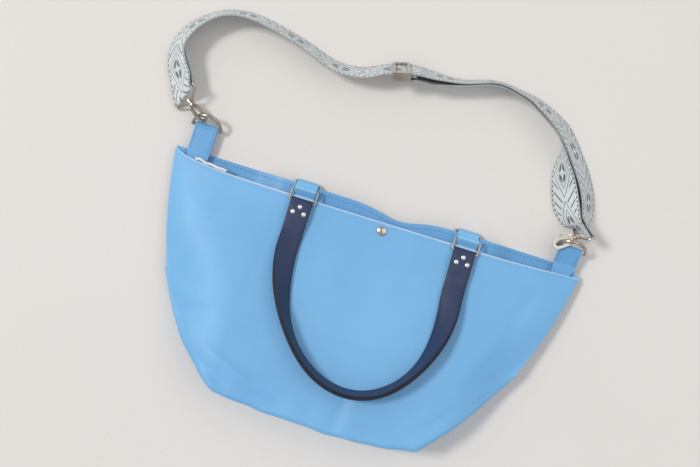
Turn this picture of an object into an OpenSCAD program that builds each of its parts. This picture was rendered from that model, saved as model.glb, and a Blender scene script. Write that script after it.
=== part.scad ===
// Trapeze handbag lying on its back, with its mouth toward +Y and its base toward -Y.
// X runs along the mouth and Z is up from the surface that the bag lies on.
// The front handle is folded down on the front panel, the back handle is folded under the bag,
// and the shoulder strap stands on its edge beyond the mouth, clipped to a ring at each mouth end.
// Lengths are in millimetres.

/* [Bag body] */
// Length of the mouth
mouth_w = 488; // [480:1:496]
// Length of the base edge
base_w = 236; // [230:1:242]
// Distance between the side points where the sides turn in
waist_w = 412; // [406:1:418]
// How far below the mouth the sides turn in
waist_drop = 130; // [124:1:136]
// Height from mouth to base as the bag lies
bag_h = 243; // [240:1:248]
// Height of the front panel's base edge above the surface
base_rise = 58; // [54:1:62]
// Height of the front rim above the surface
rim_h = 22; // [21.5:0.5:23]
// How far the base is tucked in between the panels
base_fold = 50; // [44:1:56]
// Crown of the front panel
dome = 8; // [6:0.5:10]
// Opening between the two rims
mouth_gape = 12; // [11:0.5:13]
// Thickness of the panel leather
leather_t = 1.2; // [1:0.1:1.3]
// Thickness of the facing leather inside the rims
facing_t = 0.8; // [0.6:0.1:0.9]
// Depth of the facings, as a share of the panel
facing_share = 0.14; // [0.12:0.01:0.14]
// Thickness of the lining cloth
lining_t = 0.5; // [0.4:0.1:0.6]

/* [Handles] */
// Width of the handle strip
handle_w = 25; // [23:0.5:26]
// Distance between the handle's two legs
handle_span = 194; // [190:1:198]
// Where the legs start to curve, below the mouth
handle_leg = 70; // [66:1:76]
// Depth of the handle's curved end
handle_bow = 131; // [126:1:135]
// How far the curved end leans to the right
handle_skew = 11; // [6:1:14]
// Thickness of the strip's outer leather
outer_t = 1.8; // [1.6:0.1:1.9]
// Thickness of the strip's backing leather
backing_t = 2.6; // [2.3:0.1:2.7]

/* [Handle rings] */
// Clear width inside a handle ring
ring_inner = 27; // [26.5:0.5:28]
// Distance between a ring's two bars
ring_pitch = 14.5; // [14:0.5:15.5]
// Diameter of the ring wire
ring_wire = 2.8; // [2.6:0.1:2.9]

/* [Snap] */
// Diameter of the two snap halves
snap_d = 14; // [13:0.5:15]
// Thickness of one snap half
snap_t = 2; // [1.8:0.1:2.1]
// Diameter of the snap's outside caps
cap_d = 11; // [10:0.5:12]

/* [Side rings] */
// Width of the leather side tabs
side_tab_w = 26; // [25:0.5:27]
// Width of the side rings between wire centres
d_ring_w = 34; // [34:0.5:36]
// Diameter of the side ring wire
d_ring_wire = 4; // [3.8:0.1:4.1]

/* [Shoulder strap] */
// Width of the strap webbing
strap_w = 38; // [36:0.5:38.5]
// Thickness of the strap webbing
strap_t = 1.6; // [1.4:0.1:1.7]
// Length of the strap slider along the strap
slider_l = 20; // [18:0.5:22]

/* [Hidden] */

sky_blue = [0.53, 0.77, 0.95];
deep_blue = [0.20, 0.47, 0.80];
navy = [0.20, 0.22, 0.34];
lining_grey = [0.62, 0.64, 0.66];
white_cloth = [0.93, 0.92, 0.90];
nickel = [0.75, 0.72, 0.68];
webbing_white = [0.84, 0.87, 0.88];

// The resting face's middle is the origin, so the whole bag is shifted by this much along Y
rest_y = 240;
// Clear space between pieces that lie on each other
seat = 0.3;
// Left and right differ, because the bag lies slightly twisted
left_corner_z = 9;
right_corner_z = 12;
left_waist_z = 12;
right_waist_z = 24;
left_bow = 13;
right_bow = 5;
left_waist_out = 8;
side_bow = 4;
corner_lift = 4.5;
base_bow = 9;
rim_dip = 8;
// The snap pulls the rims together and down
snap_x = 11;
snap_y = -18;
snap_pull = 2.5;
// The back panel arches over the back handle, and lies flat between the arch and the base edge
back_arch = 10.3;
arch_half = 122;
arch_side = 38;
arch_low_row = 0.885;
arch_end_row = 0.93;
nose_max = 7;

snap_u = 2 * snap_x / mouth_w;
hole_half = 0.008;
left_columns = [for (i = [-12:-1]) i / 12];
right_columns = [for (i = [1:12]) i / 12];
columns = concat(left_columns, [snap_u - hole_half, snap_u + hole_half], right_columns);
lining_columns = [for (u = columns) if (abs(u) < 0.9) u];
front_face_rows = [0.14, 0.25, 0.38, 0.5, 0.62, 0.74, 0.84, 0.92, 1];
back_face_rows = [0.14, 0.25, 0.38, 0.5, 0.62, 0.74, 0.84, arch_low_row, 0.94, 1];
nose_rows = [1.125, 1.25, 1.375, 1.5, 1.75, 2];
// How far down each panel the snap is, and the column and row where its hole starts
function snap_v(front) =
    let (rim = front ? front_rim(snap_u) : back_rim(snap_u), tail = nose_max + (front ? 0 : 3))
    (rim[1] - snap_y) / (rim[1] - outline(snap_u)[1] - tail);
function hole_rows(front) = [0, snap_v(front) - hole_half, snap_v(front) + hole_half];
hole_cell = [1, len(left_columns)];
no_hole = [-1, -1];

function mix(a, b, t) = a + (b - a) * t;
function unit(v) = v / norm(v);
function ease(t) = let (c = min(1, max(0, t))) c * c * (3 - 2 * c);
function bump(x, middle, spread) = exp(-pow((x - middle) / spread, 2));
function pick(u, left, right) = u < 0 ? left : right;

// The outline of the bag in plan: base edge up to half way, then the side up to the waist

function side_bulge(u) = let (t = 2 * abs(u) - 1) 4 * t * (1 - t) * pick(u, left_bow, right_bow);
function side_line(u) =
    let (
        t = 2 * abs(u) - 1,
        base = [base_w / 2, -bag_h],
        waist = [waist_w / 2 + pick(u, left_waist_out, 0), -waist_drop],
        along = unit(waist - base),
        p = mix(base, waist, t) + side_bulge(u) * [along[1], -along[0]]
    )
    [sign(u) * p[0], p[1]];
function outline(u) =
    abs(u) <= 0.5 ? [u * base_w, -bag_h - base_bow * (1 - 4 * u * u)] : side_line(u);
function inward(u) = unit([0, -100] - outline(u));

// Heights of the front and back panels at column u, with v from 0 at the rim to 1 at the outline

function seam_z(u, v) =
    mix(pick(u, left_corner_z, right_corner_z), pick(u, left_waist_z, right_waist_z), v);
function seam_half(v) = 0.85 + 1.75 * ease((v - 0.8) / 0.2);
function front_rim_z(u) = rim_h - snap_pull * bump(u * mouth_w / 2, snap_x, 35);
function front_z(u, v) =
    let (
        open_z = mix(front_rim_z(u), base_rise, pow(v, 1.5)) + dome * pow(sin(180 * v), 2),
        closed = mix(pow(abs(u), 8), ease(2 * abs(u) - 1), v)
    )
    mix(open_z, seam_z(u, v) + seam_half(v), closed);
function arch_z(v, p) =
    back_arch * (1 - ease((abs(p[0] - snap_x) - arch_half) / arch_side))
        * (1 - ease((v - arch_low_row) / (arch_end_row - arch_low_row)));
// Share by which the back panel has risen to the side seam: none over the middle, all at the side
function side_rise(u) = pow(max(0, (abs(u) - flat_share) / (1 - flat_share)), 5);
flat_share = 0.45;
function back_z(u, v, p) =
    mix(leather_t / 2 + arch_z(v, p), seam_z(u, v) - seam_half(v), side_rise(u));
function nose_r(u) =
    let (low = back_z(u, 1, outline(u) + 6 * inward(u)))
    min(nose_max, (front_z(u, 1) - low - 1.6) / 4);
function tuck(u) = mix(base_fold, 5, ease(2 * abs(u) - 1));
function crease_z(u) =
    (front_z(u, 1) + back_z(u, 1, outline(u) + 6 * inward(u))) / 2;

function front_rim(u) =
    [u * mouth_w / 2, -rim_dip * (1 - pow(abs(u), 6)) - sign(u) * corner_lift * pow(abs(u), 16)];
function rim_gap(u) =
    mouth_gape * (1 - 0.7 * bump(u * mouth_w / 2, snap_x + 15, 30)) * (1 - pow(abs(u), 8)) + 3;
function back_rim(u) = front_rim(u) + [0, rim_gap(u)];

// Middle of the panel leather; v runs on round the base edge, and from 1.5 to 2 along the tuck

function around(u, v, q, top, crease, up) =
    let (r = nose_r(u), a = 360 * (v - 1), t = 2 * v - 3)
    v <= 1.5
    ? let (p = q - r * sin(a) * inward(u)) [p[0], p[1], top + up * r * (cos(a) - 1)]
    : let (p = q + t * (tuck(u) - r) * inward(u)) [p[0], p[1], mix(top - 2 * up * r, crease, t)];
function face_xy(u, v, rim, q) =
    mix(rim, q, v) + [sign(u) * side_bow * pow(abs(u), 6) * 4 * v * (1 - v), 0];
function front_mid(u, v) =
    let (q = outline(u) + nose_r(u) * inward(u), p = face_xy(u, min(1, v), front_rim(u), q))
    v <= 1
    ? [p[0], p[1], front_z(u, v)]
    : around(u, v, q, front_z(u, 1), crease_z(u) + 0.75, 1);
function back_mid(u, v) =
    let (
        q = outline(u) + (nose_r(u) + 3) * inward(u),
        p = face_xy(u, min(1, v), back_rim(u), q)
    )
    v <= 1
    ? [p[0], p[1], back_z(u, v, p)]
    : around(u, v, q, back_z(u, 1, q), crease_z(u) - 0.75, -1);
function mid(u, v, front) = front ? front_mid(u, v) : back_mid(u, v);

// Unit normal of a panel at one point, pointing into the bag

function into_bag(u, v, front) =
    let (
        e = 0.004,
        du = mid(min(1, u + e), v, front) - mid(max(-1, u - e), v, front),
        dv = mid(u, min(2, v + e), front) - mid(u, max(0, v - e), front)
    )
    unit(cross(du, dv)) * (front ? 1 : -1);
function layer(us, vs, front, depth) =
    [for (v = vs) [for (u = us) mid(u, v, front) + depth * into_bag(u, v, front)]];

// A closed sheet between two grids of points, both with rows along v and columns along u

function two(a, b, c, d) = [[a, b, c], [a, c, d]];
module sheet(low, high, hole) {
    rows = len(low);
    cols = len(low[0]);
    second = rows * cols;
    at = hole[0] * cols + hole[1];
    faces = [
        for (i = [0:rows - 2], j = [0:cols - 2])
            let (k = i * cols + j)
            if (k != at)
                each two(k, k + 1, k + cols + 1, k + cols),
        for (i = [0:rows - 2], j = [0:cols - 2])
            let (k = second + i * cols + j)
            if (k != second + at)
                each two(k, k + cols, k + cols + 1, k + 1),
        for (j = [0:cols - 2])
            each two(j + 1, j, second + j, second + j + 1),
        for (j = [0:cols - 2])
            let (k = (rows - 1) * cols + j)
            each two(k, k + 1, second + k + 1, second + k),
        for (i = [0:rows - 2])
            let (k = i * cols)
            each two(k, k + cols, second + k + cols, second + k),
        for (i = [0:rows - 2])
            let (k = i * cols + cols - 1)
            each two(k + cols, k, second + k, second + k + cols),
        if (at >= 0)
            each concat(
                two(at, at + 1, second + at + 1, second + at),
                two(at + cols + 1, at + cols, second + at + cols, second + at + cols + 1),
                two(at + cols, at, second + at, second + at + cols),
                two(at + 1, at + cols + 1, second + at + cols + 1, second + at + 1)
            )
    ];
    polyhedron(points = concat([for (r = low) each r], [for (r = high) each r]), faces = faces);
}

// A skin on one panel from one depth to another, measured into the bag from the leather's middle

module skin(us, vs, front, near, far, hole = no_hole) {
    a = layer(us, vs, front, near);
    b = layer(us, vs, front, far);
    if (front)
        sheet(a, b, hole);
    else
        sheet(b, a, hole);
}

// A flat strip swept along stations, each a point and a direction across the strip

function heading(st, i) =
    unit(st[min(len(st) - 1, i + 1)][0] - st[max(0, i - 1)][0]);
function strip_ring(st, i, w, t, lift) =
    let (
        p = st[i][0],
        across = st[i][1] * w / 2,
        n = unit(cross(heading(st, i), st[i][1])),
        up = n * (lift + t / 2),
        down = n * (lift - t / 2)
    )
    [p - across + down, p + across + down, p + across + up, p - across + up];
module strip(st, w, t, lift = 0) {
    last = len(st) - 1;
    faces = [
        each two(0, 1, 2, 3),
        for (i = [0:last - 1], k = [0:3])
            let (a = 4 * i + k, b = 4 * i + (k + 1) % 4)
            each (k == 2 ? two(a + 4, b + 4, b, a) : two(a, a + 4, b + 4, b)),
        each two(4 * last + 3, 4 * last + 2, 4 * last + 1, 4 * last)
    ];
    polyhedron(points = [for (i = [0:last]) each strip_ring(st, i, w, t, lift)], faces = faces);
}

// A smooth line through a few control rows, each a list of numbers, with steps between them

function blend_rows(a, b, c, d, t) =
    0.5 * (2 * b + (c - a) * t + (2 * a - 5 * b + 4 * c - d) * t * t
        + (3 * b - a - 3 * c + d) * t * t * t);
function smooth_line(rows, steps) =
    let (n = len(rows))
    [
        for (i = [0:n - 2], s = [0:steps - 1])
            blend_rows(
                i > 0 ? rows[i - 1] : 2 * rows[0] - rows[1], rows[i], rows[i + 1],
                i < n - 2 ? rows[i + 2] : 2 * rows[n - 1] - rows[n - 2], s / steps
            ),
        rows[n - 1]
    ];

// A round wire between two points

module wire(a, b, r) {
    d = b - a;
    translate(a)
        rotate([0, acos(d[2] / norm(d)), atan2(d[1], d[0])])
            cylinder(r = r, h = norm(d), $fn = 24);
}
module bead(p, r) {
    translate(p)
        sphere(r = r, $fn = 24);
}

// Wire bent through a flat line of points, square to the direction up, with mitred bends

wire_sides = 20;
function bend_ring(line, up, r, closed, i) =
    let (
        n = len(line),
        before = unit(closed || i > 0 ? line[i] - line[(i + n - 1) % n] : line[1] - line[0]),
        after = closed || i < n - 1 ? unit(line[(i + 1) % n] - line[i]) : before,
        out = unit(cross(before + after, up)),
        reach = r / (out * unit(cross(before, up)))
    )
    [
        for (k = [0:wire_sides - 1])
            let (a = 360 * k / wire_sides)
            line[i] + reach * cos(a) * out + r * sin(a) * up
    ];
module bent_wire(line, up, r, closed = false) {
    n = len(line);
    m = wire_sides;
    last = (n - 1) * m;
    faces = [
        for (i = [0:closed ? n - 1 : n - 2], k = [0:m - 1])
            let (a = i * m, b = ((i + 1) % n) * m, next = (k + 1) % m)
            each two(a + k, a + next, b + next, b + k),
        if (!closed)
            each [
                for (k = [1:m - 2]) [0, k + 1, k],
                for (k = [1:m - 2]) [last, last + k, last + k + 1]
            ]
    ];
    polyhedron(points = [for (i = [0:n - 1]) each bend_ring(line, up, r, closed, i)], faces = faces);
}

// Bag shell

module panel(front) {
    rows = concat(hole_rows(front), front ? front_face_rows : back_face_rows, nose_rows);
    color(sky_blue)
        skin(columns, rows, front, -leather_t / 2, leather_t / 2, hole_cell);
}
facing_near = leather_t / 2 + seat;
facing_far = facing_near + facing_t;
facing_columns = [for (u = columns) if (abs(u) < 0.96) u];
module facing(front) {
    rows = concat(hole_rows(front), [0.1, facing_share]);
    color(deep_blue)
        skin(facing_columns, rows, front, facing_near, facing_far, hole_cell - [0, 1]);
}
module lining(front) {
    start = facing_share + 0.005;
    below = [for (v = front ? front_face_rows : back_face_rows) if (v > start) v];
    rows = concat([start], below, nose_rows);
    color(lining_grey)
        skin(lining_columns, rows, front, facing_near, facing_near + lining_t);
}
// A flat cloth pocket hangs from the front facing at the left end of the mouth
module inner_pocket() {
    near = facing_far + 2 * seat;
    us = [for (i = [0:6]) mix(-0.87, -0.5, i / 6)];
    vs = [for (i = [0:6]) mix(0.01, 0.5, i / 6)];
    color(white_cloth)
        skin(us, vs, true, near, near + lining_t);
}

// Snap fastener, through the panels and facings in the middle of the mouth

// Height of the front panel's middle above a plan point between the handle's legs
function front_mid_z(p) =
    let (
        v = max(0, (-rim_dip - p[1]) / (bag_h + base_bow - rim_dip - nose_max)),
        u = p[0] / mix(mouth_w / 2, base_w, v)
    )
    front_z(u, v);
snap_front_z = front_mid_z([snap_x, snap_y]);
snap_back_z = leather_t / 2 + back_arch;
post_r = 1.3;
module at_snap(z) {
    translate([snap_x, snap_y, z])
        children();
}
module snap_front_cap() {
    post_h = snap_front_z - facing_far - 0.3;
    color(nickel) {
        at_snap(snap_front_z + leather_t / 2 + 0.8)
            intersection() {
                translate([0, 0, -10.5])
                    sphere(r = 12.5, $fn = 48);
                cylinder(r = cap_d / 2, h = 5, $fn = 48);
            }
        at_snap(post_h)
            cylinder(r = post_r, h = snap_front_z + 1.4 - post_h, $fn = 24);
    }
}
module snap_front_half() {
    color(nickel)
        at_snap(snap_front_z - facing_far - 0.4 - snap_t)
            difference() {
                cylinder(r = snap_d / 2, h = snap_t, $fn = 48);
                translate([0, 0, -1])
                    cylinder(r = 1.9, h = snap_t + 0.6, $fn = 24);
            }
}
module snap_back_half() {
    color(nickel)
        at_snap(snap_back_z + facing_far + 0.2) {
            cylinder(r = snap_d / 2, h = snap_t, $fn = 48);
            cylinder(r = 1.7, h = snap_t + 0.9, $fn = 24);
        }
}
module snap_back_cap() {
    top = snap_back_z - leather_t / 2 - 0.2;
    color(nickel)
        at_snap(top) {
            translate([0, 0, -1.2])
                cylinder(r = cap_d / 2, h = 1.2, $fn = 48);
            cylinder(r = post_r, h = facing_far + leather_t / 2 + 0.3, $fn = 24);
        }
}

// Handle rings and the tabs that hold them: side is -1 at the left and 1 at the right

ring_r = ring_wire / 2;
ring_half = ring_inner / 2 + ring_r;
// How far from a ring's corner its wire starts to bend
ring_bend = 1.4;
bar_clear = 0.1;
front_bar_top = [1.5, rim_h + 3];
back_bar_top = [9.5, 5];
front_bar_low = [front_bar_top[0] - 14.4, front_bar_top[1] + 1.7];
back_bar_low = [back_bar_top[0] - ring_pitch, 5.2];
tab_t = 1.4;
tab_w = handle_w - 0.4;
function ring_x(side) = snap_x + side * handle_span / 2;

module handle_ring(side, front) {
    top = front ? front_bar_top : back_bar_top;
    low = front ? front_bar_low : back_bar_low;
    along = concat(0, unit(low - top));
    start = [ring_x(side), top[0], top[1]];
    bar = ring_half - ring_bend;
    color(nickel) {
        for (far = [0, ring_pitch])
            wire(start + [-bar, 0, 0] + far * along, start + [bar, 0, 0] + far * along, ring_r);
        for (s = [-1, 1])
            bent_wire(
                [
                    for (p = [
                        [bar - 1, 0], [bar, 0], [ring_half - 0.4, 0.4], [ring_half, ring_bend],
                        [ring_half, ring_pitch - ring_bend], [ring_half - 0.4, ring_pitch - 0.4],
                        [bar, ring_pitch], [bar - 1, ring_pitch]
                    ])
                        start + [s * p[0], 0, 0] + p[1] * along
                ],
                s * cross([1, 0, 0], along), ring_r - 0.06
            );
    }
}
// Leather folded round the ring's upper bar, with both ends laid inside the facing
module handle_tab(side, front) {
    bar = front ? front_bar_top : back_bar_top;
    up = front ? 1 : -1;
    rim_y = front_rim(0.4)[1] + (front ? 0 : rim_gap(0.4));
    face_z = front ? rim_h - facing_far - 0.5 : snap_back_z + facing_far + 0.3;
    slab = 2 * tab_t + 0.1;
    far_z = face_z - up * slab;
    turn_y = rim_y + (front ? 1.5 : 1.6);
    r = ring_r + bar_clear + tab_t;
    arc = front ? [120:-15:-60] : [60:20:360];
    color(deep_blue)
        translate([ring_x(side) - tab_w / 2, 0, 0])
            rotate([90, 0, 90])
                linear_extrude(tab_w)
                    difference() {
                        polygon([
                            [-30, face_z], [turn_y, face_z],
                            for (a = arc) bar + r * [cos(a), sin(a)],
                            [turn_y, far_z], [-30, far_z]
                        ]);
                        translate(bar)
                            circle(r = ring_r + bar_clear, $fn = 48);
                    }
}

// Handles: two legs and a bow, swept as a strip that turns on its edge round the bow

fold_r = ring_r + bar_clear + outer_t / 2;
stack_t = outer_t + 0.1 + backing_t;
lap_end_y = -31;
lap_lift = outer_t + seat;
cap_room = 2.2;
leg_steps = 6;
bow_steps = 18;
front_turn = 82;
back_turn = 8;

function handle_plan(bar_y) = concat(
    [for (i = [0:leg_steps - 1]) [ring_x(-1), mix(bar_y, -handle_leg, i / leg_steps)]],
    [
        for (i = [0:bow_steps])
            let (a = 180 * i / bow_steps)
            [
                snap_x - handle_span / 2 * cos(a) + handle_skew * sin(a),
                -handle_leg - handle_bow * sin(a)
            ]
    ],
    [for (i = [leg_steps - 1:-1:0]) [ring_x(1), mix(bar_y, -handle_leg, i / leg_steps)]]
);
// Middle of the two layers of leather above a plan point, and how far the strip is turned there
function stack_z(p, front) =
    let (
        depth = -p[1],
        turn = (front ? front_turn : back_turn) * ease((depth - 24) / 150),
        over_lap = 1 - ease((depth + lap_end_y) / 20),
        half = stack_t / 2 * cos(turn) + handle_w / 2 * sin(turn),
        on_front = front_mid_z(p) + leather_t / 2 + mix(0.5, cap_room + lap_lift, over_lap),
        on_floor = mix(0.3, back_bar_low[1] - fold_r - outer_t / 2, 1 - ease((depth - 10) / 60))
    )
    [half + (front ? on_front : on_floor), turn];
function handle_line(front) =
    let (
        bar_y = (front ? front_bar_low : back_bar_low)[0],
        plan = handle_plan(bar_y),
        n = len(plan)
    )
    [
        for (i = [0:n - 1])
            let (
                d = unit(plan[min(n - 1, i + 1)] - plan[max(0, i - 1)]),
                z = stack_z(plan[i], front),
                inner = [-d[1], d[0], 0]
            )
            [[plan[i][0], plan[i][1], z[0]], inner * cos(z[1]) - [0, 0, sin(z[1])]]
    ];
function shifted(line, by) = [
    for (i = [0:len(line) - 1])
        [line[i][0] + by * unit(cross(heading(line, i), line[i][1])), line[i][1]]
];
// The outer leather's end: a lap against the panel side, then the turn round the ring's bar
function handle_end(side, front) =
    let (
        bar = front ? front_bar_low : back_bar_low,
        up = front ? 1 : -1,
        x = ring_x(side),
        across = [-side, 0, 0],
        lap_z = bar[1] - up * fold_r,
        lap_far = front
            ? front_mid_z([x, lap_end_y]) + leather_t / 2 + cap_room + outer_t / 2
            : lap_z
    )
    [
        [[x, lap_end_y, lap_far], across],
        [[x, (lap_end_y + bar[0]) / 2, (lap_far + lap_z) / 2], across],
        for (a = [-90:22.5:70])
            [[x, bar[0] + fold_r * cos(a), bar[1] + up * fold_r * sin(a)], across]
    ];
function reversed(list) = [for (i = [len(list) - 1:-1:0]) list[i]];

rivet_spots = [[0, -6.5], [-6.5, -13.5], [6.5, -13.5]];
module rivet_places(front) {
    bar_y = (front ? front_bar_low : back_bar_low)[0];
    for (side = [-1, 1], spot = rivet_spots)
        translate([ring_x(side) + spot[0], bar_y + spot[1], 0])
            children();
}
module rivet_holes(front) {
    rivet_places(front)
        cylinder(r = 1.25, h = 60, $fn = 24);
}
module handle_outer(front) {
    line = shifted(handle_line(front), (front ? 1 : -1) * (stack_t - outer_t) / 2);
    color(navy)
        difference() {
            strip(concat(handle_end(-1, front), line, reversed(handle_end(1, front))),
                handle_w, outer_t);
            rivet_holes(front);
        }
}
module handle_backing(front) {
    line = shifted(handle_line(front), (front ? 1 : -1) * (stack_t - outer_t) / 2);
    start_y = (front ? front_bar_low : back_bar_low)[0] - 3;
    below = (front ? -1 : 1) * (stack_t - backing_t / 2 - outer_t / 2);
    color(navy)
        difference() {
            strip([for (s = line) if (s[0][1] < start_y) s], handle_w, backing_t, below);
            rivet_holes(front);
        }
}
// Lowest and highest leather that a rivet at plan point p goes through
function rivet_span(p, front) =
    let (
        bar = front ? front_bar_low : back_bar_low,
        t = (p[1] - bar[0]) / (lap_end_y - bar[0]),
        lap_far = front_mid_z([p[0], lap_end_y]) + leather_t / 2 + cap_room + outer_t / 2
    )
    front
    ? [
        mix(bar[1] - fold_r, lap_far, t) - outer_t / 2,
        front_mid_z(p) + leather_t / 2 + cap_room + lap_lift + stack_t
    ]
    : [bar[1] - fold_r - outer_t / 2, bar[1] + fold_r + outer_t / 2];
module handle_rivets(front) {
    bar_y = (front ? front_bar_low : back_bar_low)[0];
    color(nickel)
        for (side = [-1, 1], spot = rivet_spots)
            let (
                p = [ring_x(side) + spot[0], bar_y + spot[1]],
                span = rivet_span(p, front)
            )
            translate([p[0], p[1], (span[0] + span[1]) / 2])
                mirror([0, 0, front ? 0 : 1])
                    rivet((span[1] - span[0]) / 2);
}
// A rivet through leather that reaches this far each way from 0
module rivet(reach) {
    translate([0, 0, -reach - 1])
        cylinder(r = 2.4, h = 0.6, $fn = 24);
    translate([0, 0, -reach - 0.7])
        cylinder(r = 1.2, h = 2 * reach + 1.5, $fn = 24);
    translate([0, 0, reach + 0.6])
        intersection() {
            translate([0, 0, -3.4])
                sphere(r = 4.3, $fn = 32);
            cylinder(r = 2.6, h = 3, $fn = 32);
        }
}

// Side tabs and side rings; both turn about the one line through the two rings' straight bars

left_bar = [27 - mouth_w / 2, 37, 10];
right_bar = [mouth_w / 2 - 20, 26, 18];
bar_line = unit(right_bar - left_bar);
bar_yaw = atan2(bar_line[1], bar_line[0]);
bar_pitch = asin(bar_line[2]);
d_r = d_ring_wire / 2;
left_ring_lift = 44;
right_ring_lift = 60;
side_tab_t = 1.6;

// Puts a shape drawn along X with its middle at 0 on one side's bar
module on_bar(side) {
    translate(side < 0 ? left_bar : right_bar)
        rotate([0, -bar_pitch, bar_yaw])
            children();
}
module d_ring(side) {
    half = d_ring_w / 2;
    color(nickel)
        on_bar(side)
            rotate([side < 0 ? left_ring_lift : right_ring_lift, 0, 0]) {
                wire([-half, 0, 0], [half, 0, 0], d_r);
                bead([-half, 0, 0], d_r + 0.2);
                bead([half, 0, 0], d_r + 0.2);
                rotate_extrude(angle = 180, $fn = 64)
                    translate([half, 0])
                        circle(r = d_r, $fn = 24);
            }
}
module side_tab(side) {
    bar = side < 0 ? left_bar : right_bar;
    hole = d_r + bar_clear;
    r = hole + side_tab_t;
    slab = side_tab_t + 0.1;
    root_z = (side < 0 ? 10.5 : 13) - bar[2];
    root_y = 8 - bar[1];
    tail_y = -bar[1] - 20;
    tail_cut = 12;
    color(deep_blue)
        on_bar(side)
            intersection() {
                rotate([90, 0, 90])
                    translate([0, 0, -side_tab_w / 2])
                        linear_extrude(side_tab_w)
                            difference() {
                                polygon([
                                    [tail_y, root_z + slab], [root_y, root_z + slab],
                                    for (a = [120:-15:-120]) r * [cos(a), sin(a)],
                                    [root_y, root_z - slab], [tail_y, root_z - slab]
                                ]);
                                circle(r = hole, $fn = 48);
                            }
                translate([0, 0, -25])
                    linear_extrude(50)
                        mirror([side < 0 ? 1 : 0, 0])
                            polygon([
                                [-side_tab_w, tail_y - 1], [side_tab_w / 2 - tail_cut, tail_y - 1],
                                [side_tab_w / 2 + 1, root_y - 2], [side_tab_w / 2 + 1, 10],
                                [-side_tab_w, 10]
                            ]);
            }
}

// Swivel hooks, drawn with the swivel at 0, the nose toward X and the gate toward -Y

loop_in = 3.8;
loop_out = 6.8;
loop_t = 3.4;
loop_start = 9.4;
loop_end = 21.2;
pin_at = [7, -4.6];
eye_far = 13;
eye_wire = 3;
gate_from = 8.8;
gate_l = 9.6;
left_swivel = left_bar + [-24.7, 20.7, 7.3];
right_swivel = right_bar + [-0.3, 15.1, 5.8];
// Each hook's slope and heading, and how far its eye and its claw are rolled about that heading
left_aim = [-6, -34.7];
right_aim = [-6, 217];
left_rolls = [40, -50];
right_rolls = [72, 0];

function turned(v, a) =
    let (
        x = [v[0], v[1] * cos(a[0]) - v[2] * sin(a[0]), v[1] * sin(a[0]) + v[2] * cos(a[0])],
        y = [x[0] * cos(a[1]) + x[2] * sin(a[1]), x[1], x[2] * cos(a[1]) - x[0] * sin(a[1])]
    )
    [y[0] * cos(a[2]) - y[1] * sin(a[2]), y[0] * sin(a[2]) + y[1] * cos(a[2]), y[2]];
function hook_at(side) = side < 0 ? left_swivel : right_swivel;
function hook_turn(side, part) =
    side < 0 ? concat(left_rolls[part], left_aim) : concat(right_rolls[part], right_aim);
module on_hook(side, part) {
    translate(hook_at(side))
        rotate(hook_turn(side, part))
            children();
}
function eye_bar(side) = hook_at(side) + turned([-eye_far, 0, 0], hook_turn(side, 0));
function eye_across(side) = turned([0, 1, 0], hook_turn(side, 0));
module slot_shape(r, from) {
    translate([from, 0])
        circle(r = r, $fn = 48);
    translate([loop_end, 0])
        circle(r = r, $fn = 48);
    translate([from, -r])
        square([loop_end - from, 2 * r]);
}
module hook_claw() {
    color(nickel) {
        difference() {
            translate([0, 0, -loop_t / 2])
                linear_extrude(loop_t)
                    difference() {
                        slot_shape(loop_out, loop_start - 1);
                        slot_shape(loop_in, loop_start);
                        translate([gate_from, -loop_out - 1])
                            square([gate_l + 0.3, loop_out - loop_in + 1.4]);
                    }
            translate([pin_at[0], pin_at[1], -0.95])
                cylinder(r = 1.75, h = 1.9, $fn = 24);
            translate([pin_at[0], -loop_out - 1, -0.95])
                cube([gate_from - pin_at[0] + 1, loop_out - loop_in + 1.4, 1.9]);
            translate([pin_at[0], pin_at[1], -5])
                cylinder(r = 0.7, h = 10, $fn = 24);
        }
        translate([0.2, 0, 0])
            rotate([0, 90, 0])
                cylinder(r = 3.4, h = 3.4, $fn = 32);
        translate([-5.4, 0, 0])
            rotate([0, 90, 0])
                cylinder(r = 1.75, h = 6, $fn = 32);
        translate([-5.4, 0, 0])
            rotate([0, 90, 0])
                cylinder(r = 2.8, h = 1.5, $fn = 32);
    }
}
module hook_gate() {
    color(nickel)
        difference() {
            union() {
                translate([gate_from + 0.2, -loop_out + 0.1, -loop_t / 2])
                    cube([gate_l - 0.2, 2.5, loop_t]);
                translate([pin_at[0], pin_at[1], -0.75])
                    cylinder(r = 1.45, h = 0.8, $fn = 24);
                translate([pin_at[0], -loop_out + 0.9, -0.75])
                    cube([3, 1.7, 0.8]);
                translate([gate_from + gate_l - 3, -loop_out + 0.3, 0])
                    rotate([90, 0, 0])
                        cylinder(r = 1.5, h = 1.2, $fn = 24);
            }
            translate([pin_at[0], pin_at[1], -5])
                cylinder(r = 0.75, h = 10, $fn = 24);
        }
}
module hook_gate_pin() {
    color(nickel)
        translate([pin_at[0], pin_at[1], -loop_t / 2])
            cylinder(r = 0.68, h = loop_t, $fn = 24);
}
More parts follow.
